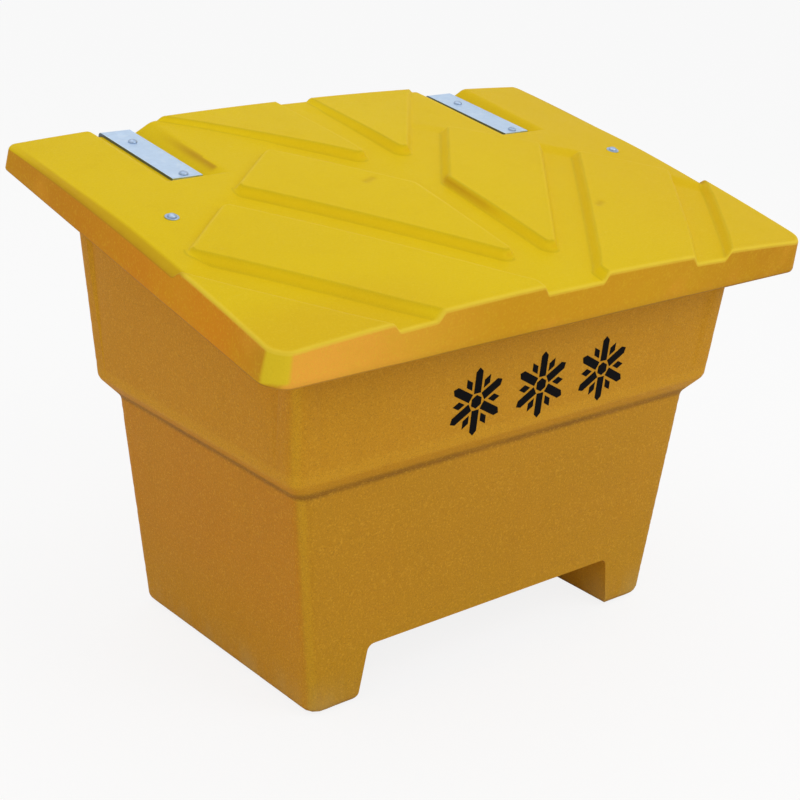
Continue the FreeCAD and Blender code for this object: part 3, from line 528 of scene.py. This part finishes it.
# one panel's rise over the channels; its walls' lines go into the marks
def panelRise(u, v, number, outline, marks):
    def inside(across, depth):
        return insideOutline(across, depth, outline, panel["corner"])

    def mark(name, values):
        marks[name] = np.maximum(marks[name], values)

    across, probe = np.abs(u), panel["probe"]
    depth = inside(across, v)
    ahead = (inside(across, v + probe) - depth) / probe
    aside = (inside(across + probe, v) - depth) / probe * np.sign(u)
    toLeft = aside + panel["aheadShare"] * ahead  # above 0 where a wall faces the front left
    dark = np.clip(panel["darkGain"] * toLeft, 0, 1)
    away = np.clip(-panel["awayGain"] * ahead, 0, 1) * smooth(-toLeft, -panel["awayFade"], 0.0)
    bright = np.maximum(np.clip(-panel["brightGain"] * toLeft, 0, 1), away)
    slopeHalf, step = panel["slopeHalf"], lid["step"]
    if number == 0:  # lower towards the back edge
        step = step + (panel["backStep"] - step) * smooth(v, *panel["backStepZone"])
    if number == 1:  # steeper and browner beside the middle channel, towards the back
        # painted shade: the wall beside the middle channel browner, on the right half only
        near = bell(across - channels["centre"] / 2, middleWall["width"])
        near = near * smooth(v, *middleWall["steepZone"])
        slopeHalf = slopeHalf * (1 - middleWall["steeper"] * near)
        brown = middleWall["brown"] * near * bell(depth, slopeHalf) * smooth(v, *middleWall["brownZone"])
        mark("brown", brown * (u > 0))
    lines = (bell(depth - panel["upperLine"], panel["lineWidth"])
             + panel["lowerShade"] * bell(depth + panel["lowerLine"], panel["lineWidth"]))
    mark("shade", lines * dark)
    # the wall mark paints light onto the walls that face the front left
    mark("wall", bell(depth, panel["wallWidth"]) * dark)
    mark("gleam", panel["gleam"] * bell(depth - panel["gleamPlace"], panel["gleamWidth"]) * bright)
    return (0.5 + 0.5 * np.sin(np.clip(depth / slopeHalf, -1, 1) * math.pi / 2)) * step


# the face with the strap seats sunk into it, and where they lie
def sinkSeats(face, across, v):
    floor = seat["backHeight"] + (lid["halfDepth"] - v) * math.tan(math.radians(seat["tilt"]))
    outward = np.maximum.reduce([(seat["inner"] - across) / seat["innerSlope"],
                                 (across - seat["outer"]) / seat["outerSlope"],
                                 (seat["front"] - v) / seat["frontSlope"], np.zeros(v.shape)])
    bed = floor + outward * seat["rise"]
    sunk = np.where(outward > 0, softMin(face, bed, seat["round"]), np.minimum(face, bed))
    return sunk, bed < face


# height of the lid's face over its rim, with the marks where its lines are darker or lighter
def lidHeight(u, v, shape):
    across = np.abs(u)
    marks = {name: np.zeros(u.shape) for name in markNames}
    raised = np.zeros(u.shape)
    if shape is outerFace:
        raised, marks["brown"] = sideAreas(across, v)
    for number, outline in enumerate(panelOutlines()):
        raised = np.maximum(raised, panelRise(u, v, number, outline, marks))
    face, deep = sinkSeats(channelFloor(u, v, shape) + raised, across, v)
    marks = {name: mark * ~deep for name, mark in marks.items()}
    if shape is outerFace:
        # painted shade: a brown streak up the seats' inner walls, fading at the front
        climb = (seat["inner"] - across) / seat["wallWidth"]
        streak = bell(climb - seat["streakPlace"], seat["streakWidth"])
        streak = streak * smooth(v, *seat["streakBack"])
        streak = streak * smooth(v, seat["front"], seat["front"] + seat["streakFade"])
        marks["brown"] = np.where(deep & (climb > 0), streak, marks["brown"])
        for ends in dents["ends"]:
            near = bell(fromSegment(u, v, *ends), dents["width"])
            face = face - dents["depth"] * near
            marks["brown"] = np.maximum(marks["brown"], dents["brown"] * near)
    return face, marks


# lines of the grid over the lid's face, closer at its edges; the inside takes every second one
def gridLines(outerHalf, inset, edge):
    half, corner = outerHalf - inset, lid["corner"] - inset
    angles = [math.radians(degrees) for degrees in range(90, -1, -lid["edgeDegrees"])]
    rounding = [edge * (1 - math.sin(angle)) for angle in angles]
    near = list(np.linspace(edge, corner, int(lid["corner"] / lid["spacing"]))[1:])
    offsets = [half - offset for offset in rounding + near]
    count = int((outerHalf - lid["corner"]) / lid["spacing"]) * 2 + 1
    between = np.linspace(-offsets[-1], offsets[-1], count + 2)[1:-1]
    lines = np.array([-x for x in offsets] + list(between) + offsets[::-1])
    return lines[::2] if inset else lines


def lidSheet(inset, shape):
    halfX, halfY = lid["halfLength"] - inset, lid["halfDepth"] - inset
    edge = shape["edge"]
    x, y = np.meshgrid(gridLines(lid["halfLength"], inset, edge), gridLines(lid["halfDepth"], inset, edge),
                       indexing="ij")
    corner = np.where(y > 0, lid["backCorner"], lid["corner"]) - inset
    fromEnd, fromFront = halfX - np.abs(x), halfY - np.abs(y)
    depth = np.minimum(fromEnd, fromFront)
    a, b = 1 - fromEnd / corner, 1 - fromFront / corner  # places within a corner's square, 0 to 1
    turned = (a > tiny) & (b > tiny)
    safeA, safeB = np.where(turned, a, 1), np.where(turned, b, 1)
    angle = np.where(safeA >= safeB, math.pi / 4 * safeB / safeA, math.pi / 2 - math.pi / 4 * safeA / safeB)
    reach = corner * np.maximum(a, b)
    u = np.where(turned, np.sign(x) * (halfX - corner + reach * np.cos(angle)), x)
    v = np.where(turned, np.sign(y) * (halfY - corner + reach * np.sin(angle)), y)
    face, marks = lidHeight(u, v, shape)
    over = np.clip(edge - depth, 0, edge)
    w = face - inset - (edge - np.sqrt(edge ** 2 - over ** 2))
    lean = w * math.tan(math.radians(shape["lean"]))
    u = u - np.sign(u) * lean * np.clip(1 - fromEnd / lid["leanReach"], 0, 1)
    v = v - np.sign(v) * lean * np.clip(1 - fromFront / lid["leanReach"], 0, 1)
    if shape is innerFace:
        return u, v, w, {name: np.zeros(u.shape) for name in markNames}
    atRim = bell(depth - rim["place"], rim["width"])
    for name in ("shade", "gleam", "wall"):
        marks[name] = marks[name] * (1 - atRim)
    marks["gleam"] = np.maximum(marks["gleam"], atRim * smooth(-v, *rim["gleamZone"]))
    return u, v, w, marks


def outwardAt(point):
    corner = lid["backCorner"] if point[1] > 0 else lid["corner"]
    x = max(abs(point[0]) - lid["halfLength"] + corner, 0) * (1 if point[0] > 0 else -1)
    y = max(abs(point[1]) - lid["halfDepth"] + corner, 0) * (1 if point[1] > 0 else -1)
    span = math.hypot(x, y) or 1
    return (x / span, y / span)


def stitch(first, second, flip):
    count = len(first)
    made = []
    for k in range(count):
        after = (k + 1) % count
        quad = (first[k], second[k], second[after], first[after])
        made.append(quad[::-1] if flip else quad)
    return made


def addPiece(name, points, faces, turn, material, body, slot, replaced, sharp=None, marks=None):
    mesh = bpy.data.meshes.new(name)
    mesh.from_pydata([tuple(point) for point in points], [], faces)
    for markName, values in (marks or {}).items():
        attribute = mesh.attributes.new(markName, "FLOAT", "POINT")
        attribute.data.foreach_set("value", np.array(values, dtype=np.float32))
    mesh.transform(turn)
    mesh.materials.append(material)
    mesh.polygons.foreach_set("use_smooth", [True] * len(mesh.polygons))
    if sharp:
        mesh.set_sharp_from_angle(angle=math.radians(sharp))
    piece = bpy.data.objects.new(name, mesh)
    bpy.context.scene.collection.objects.link(piece)
    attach(piece, body)
    if replaced:
        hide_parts(*replaced)


lidFrame = Matrix.Translation(lid["middle"]) @ Matrix.Rotation(math.radians(lid["tilt"]), 4, "X")


def makeLid():
    points, quads = [], []
    marks = {name: [] for name in markNames}

    def addPoints(us, vs, ws, values=None):
        start = len(points)
        points.extend(zip(us, vs, ws))
        for name in markNames:
            marks[name].extend(values[name].ravel() if values else np.zeros(len(us)))
        return list(range(start, len(points)))

    rims = []
    for inset, shape in ((0.0, outerFace), (lid["wall"], innerFace)):
        flip = shape is innerFace
        u, v, w, values = lidSheet(inset, shape)
        slant = math.tan(math.radians(shape["lean"]))
        rows, columns = u.shape
        start = addPoints(u.ravel(), v.ravel(), w.ravel(), values)[0]
        for i in range(rows - 1):
            for j in range(columns - 1):
                quad = (start + i * columns + j, start + (i + 1) * columns + j,
                        start + (i + 1) * columns + j + 1, start + i * columns + j + 1)
                quads.append(quad[::-1] if flip else quad)
        ring = [(i, 0) for i in range(rows)] + [(rows - 1, j) for j in range(1, columns)]
        ring += [(i, columns - 1) for i in range(rows - 2, -1, -1)]
        ring += [(0, j) for j in range(columns - 2, 0, -1)]
        previous = [start + i * columns + j for i, j in ring]
        top = np.array([points[k] for k in previous])
        outward = np.array([outwardAt(point) for point in top])
        base = top[:, :2] + outward * (top[:, 2] * slant)[:, None]
        for level in shape["levels"]:  # down the skirt to its lower edge
            height = top[:, 2] * level
            draw = height * slant + (lid["lip"] if level == 0 and not flip else 0)
            place = base - outward * draw[:, None]
            row = addPoints(place[:, 0], place[:, 1], height)
            quads.extend(stitch(previous, row, flip))
            previous = row
        rims.append(previous)
    outerRim, innerRim = rims
    for k in range(len(innerRim)):  # the lower edge: two steps outside for each step inside
        after, far = (k + 1) % len(innerRim), (2 * k + 2) % len(outerRim)
        quads.append((outerRim[2 * k], innerRim[k], innerRim[after], outerRim[far], outerRim[2 * k + 1]))
    addPiece("lidSkin", points, quads, lidFrame, finishes["lid"], "lid_assembly", "lid_plastic", ["lid"],
             marks=marks)


makeLid()
print("lid skin made")


# tub skin: the tub's walls a little further out at its front and sides, with tighter corners than the solid's

tub = {"heights": (0, 0.423, 0.457, 1.0), "halfLengths": (0.394, 0.4445, 0.475, 0.5168),
       "halfDepths": (0.260, 0.275, 0.3005, 0.3423), "corner": 0.045, "tightCorner": 0.022,
       "sideShift": 0.009, "sideZone": (0.88, 0.975), "frontShift": 0.007, "frontZone": (0.82, 0.97),
       "fade": (0.018, 0.050), "sharp": 28, "weldsPerMetre": 1e6}


def widened(points):
    x, y, z = points.T
    halfX = np.interp(z, tub["heights"], tub["halfLengths"])
    halfY = np.interp(z, tub["heights"], tub["halfDepths"])
    below = lid["middle"][2] + (y - lid["middle"][1]) * math.tan(math.radians(lid["tilt"])) - z
    fade = smooth(below, *tub["fade"])
    corner, tight = tub["corner"], tub["tightCorner"]
    a = np.abs(x) - (halfX - corner)
    b = np.abs(y) - (halfY - corner)
    turning = (a > tiny) & (b > tiny)
    span = np.where(turning, np.hypot(a, b), 1)
    cosine, sine = np.where(turning, a, 1) / span, np.where(turning, b, 1) / span
    flat = corner / np.maximum(cosine, sine)
    middle = corner - tight
    toMiddle = middle * (cosine + sine)
    curved = toMiddle + np.sqrt(np.maximum(toMiddle ** 2 - 2 * middle ** 2 + tight ** 2, 0))
    onFlat = np.minimum(cosine, sine) * flat <= middle
    scale = 1 + (np.where(onFlat, flat, curved) / corner - 1) * fade
    newX = np.where(turning, np.sign(x) * (halfX - corner + a * scale), x)
    newY = np.where(turning, np.sign(y) * (halfY - corner + b * scale), y)
    newX = newX + np.sign(x) * tub["sideShift"] * smooth(np.abs(x) / halfX, *tub["sideZone"]) * fade
    newY = newY - tub["frontShift"] * smooth(-y / halfY, *tub["frontZone"]) * fade
    return np.stack([newX, newY, z], axis=1)


def makeTub():
    source = nodes["tub"].data
    places = np.empty(len(source.vertices) * 3)
    source.vertices.foreach_get("co", places)
    places = places.reshape(-1, 3)
    grid = np.round(places * tub["weldsPerMetre"]).astype(np.int64)
    _, first, same = np.unique(grid, axis=0, return_index=True, return_inverse=True)
    same = same.ravel()
    faces = []
    for polygon in source.polygons:
        corners = [int(same[k]) for k in polygon.vertices]
        if len(set(corners)) == len(corners):
            faces.append(corners)
    addPiece("tubSkin", widened(places[first]), faces, Matrix(), finishes["tub"], "bin", "tub_plastic",
             ["tub"], sharp=tub["sharp"])


makeTub()
print("tub skin made")


# round heads: bolts of the straps and screws of the rests, as turned profiles

head = {"rimShare": 0.18, "slices": 7, "sliceAngle": 12, "segments": 28, "sharp": 40}
bolt = {"radius": 0.0083, "height": 0.0055, "shank": 0.004, "length": 0.024, "across": 0.381,
        "along": (-0.060, -0.225), "seat": 0.005}
rest = {"across": 0.504, "along": 0.024, "washer": 0.012, "washerEdge": 0.0005, "thick": 0.002,
        "radius": 0.0078, "height": 0.0048, "shank": 0.004, "foot": 0.0271, "sink": 0.0004}


def turned(places, profile):
    points, faces = [], []
    segments = head["segments"]
    for x, y, z in places:
        start = len(points)
        points.append((x, y, z + profile[0][1]))
        for radius, height in profile[1:-1]:
            for k in range(segments):
                angle = 2 * math.pi * k / segments
                points.append((x + radius * math.cos(angle), y + radius * math.sin(angle), z + height))
        points.append((x, y, z + profile[-1][1]))
        last = len(points) - 1
        rings = len(profile) - 2
        for k in range(segments):
            after = (k + 1) % segments
            faces.append((start, start + 1 + k, start + 1 + after))
            for ring in range(rings - 1):
                first = start + 1 + ring * segments
                faces.append((first + k, first + segments + k, first + segments + after, first + after))
            first = start + 1 + (rings - 1) * segments
            faces.append((first + k, last, first + after))
    return points, faces


# profile of a low dome over the height where it sits
def domed(radius, height, under):
    rimShare = head["rimShare"]
    profile = [(0, under + height)]
    for k in range(1, head["slices"] + 1):
        angle = math.radians(90 - k * head["sliceAngle"])
        rise = height * (rimShare + (1 - rimShare) * math.sin(angle))
        profile.append((radius * math.cos(angle), under + rise))
    return profile + [(radius, under + height * rimShare), (radius, under)]


def makeFasteners():
    strapFrame = lidFrame @ Matrix.Translation((0, lid["halfDepth"], seat["backHeight"]))
    strapFrame = strapFrame @ Matrix.Rotation(math.radians(-seat["tilt"]), 4, "X")
    places = [(x, y, bolt["seat"]) for x in (-bolt["across"], bolt["across"]) for y in bolt["along"]]
    profile = domed(bolt["radius"], bolt["height"], 0)
    profile += [(bolt["shank"], 0), (bolt["shank"], -bolt["length"]), (0, -bolt["length"])]
    addPiece("strapBoltsRound", *turned(places, profile), strapFrame, finishes["zinc"], "lid_assembly",
             "zinc_plated_steel", ["strap_bolts"], sharp=head["sharp"])

    face, _ = lidHeight(np.array([[rest["across"]]]), np.array([[rest["along"]]]), outerFace)
    level = float(face[0, 0]) - rest["sink"]
    places = [(x, rest["along"], level) for x in (-rest["across"], rest["across"])]
    profile = domed(rest["radius"], rest["height"], rest["thick"])
    profile += [(rest["washer"] - rest["washerEdge"], rest["thick"]),
                (rest["washer"], rest["thick"] - rest["washerEdge"]), (rest["washer"], 0), (rest["shank"], 0),
                (rest["shank"], rest["foot"] - level), (0, rest["foot"] - level)]
    addPiece("restScrewsRound", *turned(places, profile), lidFrame, finishes["zinc"], "lid_assembly",
             "zinc_plated_steel", ["rest_screws", "rest_washers"], sharp=head["sharp"])


makeFasteners()
print("round heads made")


# ice crystals in stencil paint on the band's front; hub, arms and facets are shares of the radius

stencil = {"middles": (-0.118, 0.031, 0.180), "height": 0.531, "radius": 0.062, "bar": 0.0155,
           "thick": 0.0004, "sunk": 0.0002, "arms": 6, "hub": 0.2, "armStart": 0.25, "armShoulder": 0.88,
           "facets": (0.42, 0.63, 0.84), "facetHalf": 0.0072, "bandFront": 0.3075, "bandHeight": 0.457,
           "draft": 4.4, "sharp": 40}


def crystalShapes():
    half, radius, facetHalf = stencil["bar"] / 2, stencil["radius"], stencil["facetHalf"]
    start, shoulder = stencil["armStart"] * radius, stencil["armShoulder"] * radius
    near, middle, far = (share * radius for share in stencil["facets"])
    hub = stencil["hub"] * radius
    arm = [(start, -half), (shoulder, -half), (radius, 0), (shoulder, half), (start, half)]
    facet = [(near, 0), (middle, -facetHalf), (far, 0), (middle, facetHalf)]
    spread = 360 / stencil["arms"]
    hubAngles = [math.radians(spread * (k + 0.5)) for k in range(stencil["arms"])]
    shapes = [[(hub * math.cos(angle), hub * math.sin(angle)) for angle in hubAngles]]
    for k in range(stencil["arms"]):
        for degrees, shape in ((spread * k + 90, arm), (spread * (k + 1), facet)):
            cosine, sine = math.cos(math.radians(degrees)), math.sin(math.radians(degrees))
            shapes.append([(a * cosine - b * sine, a * sine + b * cosine) for a, b in shape])
    return shapes


def makeCrystals():
    points, faces = [], []
    slope = math.tan(math.radians(stencil["draft"]))
    for middle in stencil["middles"]:
        for shape in crystalShapes():
            start = len(points)
            count = len(shape)
            for out in (-stencil["sunk"], stencil["thick"]):
                for a, b in shape:
                    z = stencil["height"] + b
                    front = stencil["bandFront"] + (z - stencil["bandHeight"]) * slope
                    points.append((middle + a, -front - out, z))
            faces.append(tuple(start + k for k in range(count))[::-1])
            faces.append(tuple(start + count + k for k in range(count)))
            for k in range(count):
                after = (k + 1) % count
                faces.append((start + k, start + after, start + count + after, start + count + k))
    addPiece("stencilCrystals", points, faces, Matrix(), finishes["paint"], "bin", "tub_plastic", None,
             sharp=stencil["sharp"])


makeCrystals()
print("stencil made")


# stage: lamps are place, watts and size

stage = {"half": 14, "floor": (0.93, 0.93, 0.93, 1), "floorRoughness": 0.9, "floorSpecular": 0.1,
         "floorGlow": 0.85, "world": 0.62, "aim": (0, 0, 0.5),
         "lamps": {"key": ((1.6, -3.4, 3.6), 42, 2.6), "fill": ((-3.6, -0.8, 1.8), 9, 2.4),
                   "top": ((0, 0.6, 4.2), 22, 3.2)}}
white = (1, 1, 1, 1)


def makeFloor():
    half = stage["half"]
    mesh = bpy.data.meshes.new("floor")
    corners = [(-half, -half, 0), (half, -half, 0), (half, half, 0), (-half, half, 0)]
    mesh.from_pydata(corners, [], [(0, 1, 2, 3)])
    floor = bpy.data.objects.new("floor", mesh)
    bpy.context.scene.collection.objects.link(floor)
    pale = Shader("paleFloor", stage["floorRoughness"], specular=stage["floorSpecular"])
    pale.set("Base Color", stage["floor"])
    rays = pale.node("ShaderNodeLightPath", output="Is Camera Ray")
    glow = pale.node("ShaderNodeEmission", None, {"Color": white, "Strength": 1.0})
    lit = Sum(pale, pale.surface.outputs[0])
    blend = pale.node("ShaderNodeMixShader", None, {0: rays * stage["floorGlow"], 1: lit, 2: glow})
    pale.join(pale.nodeTree.nodes["Material Output"].inputs["Surface"], blend)
    mesh.materials.append(pale.material)


# white where the camera or a gloss sees it, and dimmer as a light
def makeWorld():
    world = bpy.data.worlds.new("studio")
    bpy.context.scene.world = world
    world.use_nodes = True
    studio = Tree(world.node_tree)
    cameraRay, glossyRay = (studio.node("ShaderNodeLightPath", output=kind)
                            for kind in ("Is Camera Ray", "Is Glossy Ray"))
    back = world.node_tree.nodes["Background"]
    studio.join(back.inputs["Color"], white)
    studio.join(back.inputs["Strength"], studio.node("ShaderNodeMapRange", None, {
        "Value": cameraRay.math("MAXIMUM", glossyRay), "To Min": stage["world"], "To Max": 1.0}))


def makeLamps():
    for name, (place, watts, size) in stage["lamps"].items():
        data = bpy.data.lights.new(name, "AREA")
        data.energy = watts
        data.size = size
        lamp = bpy.data.objects.new(name, data)
        lamp.location = place
        aim = Vector(stage["aim"]) - Vector(place)
        lamp.rotation_euler = aim.to_track_quat("-Z", "Y").to_euler()
        bpy.context.scene.collection.objects.link(lamp)


makeFloor()
makeWorld()
makeLamps()
bpy.context.scene.view_settings.view_transform = "Standard"
print("stage made")
